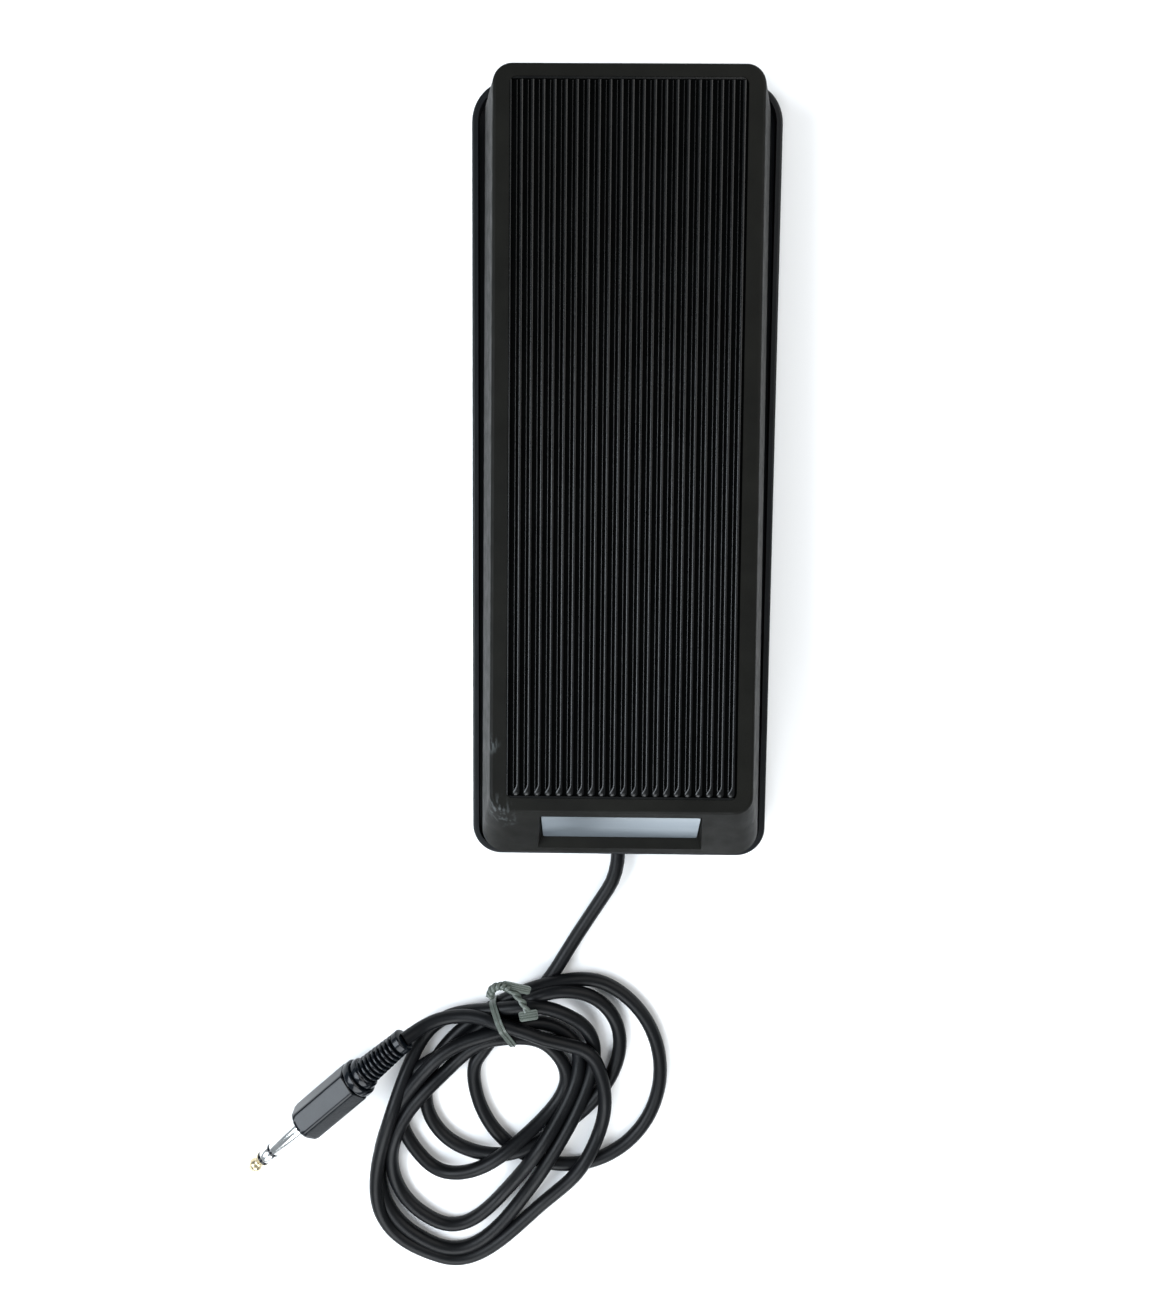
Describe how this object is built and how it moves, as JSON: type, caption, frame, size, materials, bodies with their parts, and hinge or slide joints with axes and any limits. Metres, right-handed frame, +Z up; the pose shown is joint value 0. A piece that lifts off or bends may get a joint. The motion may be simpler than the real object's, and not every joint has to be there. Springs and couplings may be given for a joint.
{
  "type": "sustain pedal",
  "caption": "Long black rocking foot pedal with a ribbed rubber treadle over a shallow tray, and a tied coil of captive cord that ends in a faceted stereo plug.",
  "frame": {"origin": "on the floor, under the middle of the pedal without its cord", "axes": "+X across the pedal to the right with the toe end nearest the viewer, +Y towards the heel end, +Z up; the cord leaves at the toe end, -Y"},
  "size_m": [0.2141, 0.4847, 0.0544],
  "materials": {
    "base_plastic": "fine satin moulded black plastic",
    "treadle_plastic": "grained matte black plastic, slightly worn at its edges",
    "mat_rubber": "ribbed black rubber with scuffed rib crests",
    "plate_metal": "fine brushed silver, blank",
    "zinc_steel": "zinc-plated steel",
    "black_steel": "black powder-coated steel sheet",
    "foot_rubber": "plain black rubber",
    "nylon": "natural white nylon",
    "fibre": "red-brown vulcanised fibre",
    "lead_plastic": "coloured wire insulation",
    "cord_rubber": "smooth black cord sheath with a soft sheen",
    "tie_plastic": "grey-green twist tie with two wires",
    "plug_plastic": "moulded black plug plastic",
    "plug_nickel": "nickel-plated brass"
  },
  "bodies": {
    "base": {"base_tray": "base_plastic", "bottom_plate": "black_steel", "bottom_plate_screws": "zinc_steel", "rubber_feet": "foot_rubber", "cord_grommet": "foot_rubber", "toe_bumpers": "foot_rubber", "heel_bumpers": "foot_rubber", "pivot_bracket": "zinc_steel", "pivot_bracket_screws": "zinc_steel", "hinge_shaft": "zinc_steel", "hinge_shaft_clips": "black_steel", "friction_washers": "fibre", "wave_washers": "zinc_steel", "pot_body": "zinc_steel", "pot_washer": "zinc_steel", "pot_nut": "zinc_steel", "pot_bracket": "zinc_steel", "pot_bracket_screws": "zinc_steel", "pot_terminals": "zinc_steel", "pot_leads": "lead_plastic", "inner_cord": "cord_rubber", "cord_clamp": "base_plastic", "cord_clamp_screws": "zinc_steel", "cord_tube": "cord_rubber", "cord_coil": "cord_rubber", "twist_tie": "tie_plastic", "plug_relief": "plug_plastic", "plug_body": "plug_plastic", "plug_sleeve": "plug_nickel", "plug_ring": "plug_nickel", "plug_insulators": "plug_plastic", "plug_tip": "plug_nickel"},
    "treadle": {"treadle_shell": "treadle_plastic", "ribbed_mat": "mat_rubber", "nameplate": "plate_metal", "hinge_bushes": "nylon", "gear_sector": "nylon", "gear_sector_screws": "zinc_steel"},
    "pot_rotor": {"pot_shaft": "zinc_steel", "pinion": "nylon"}
  },
  "joints": [
    {"name": "treadle_rock", "type": "hinge", "parent": "base", "child": "treadle", "pos_m": [0, 0, 0.022], "axis": [1, 0, 0], "range_deg": [-4, 8.5]},
    {"name": "pot_turn", "type": "hinge", "parent": "base", "child": "pot_rotor", "pos_m": [0, -0.05021, 0.02639], "axis": [1, 0, 0], "range_deg": [-68, 32]}
  ],
  "couplings": [
    {"joint": "pot_turn", "follows": "treadle_rock", "ratio": -8}
  ]
}
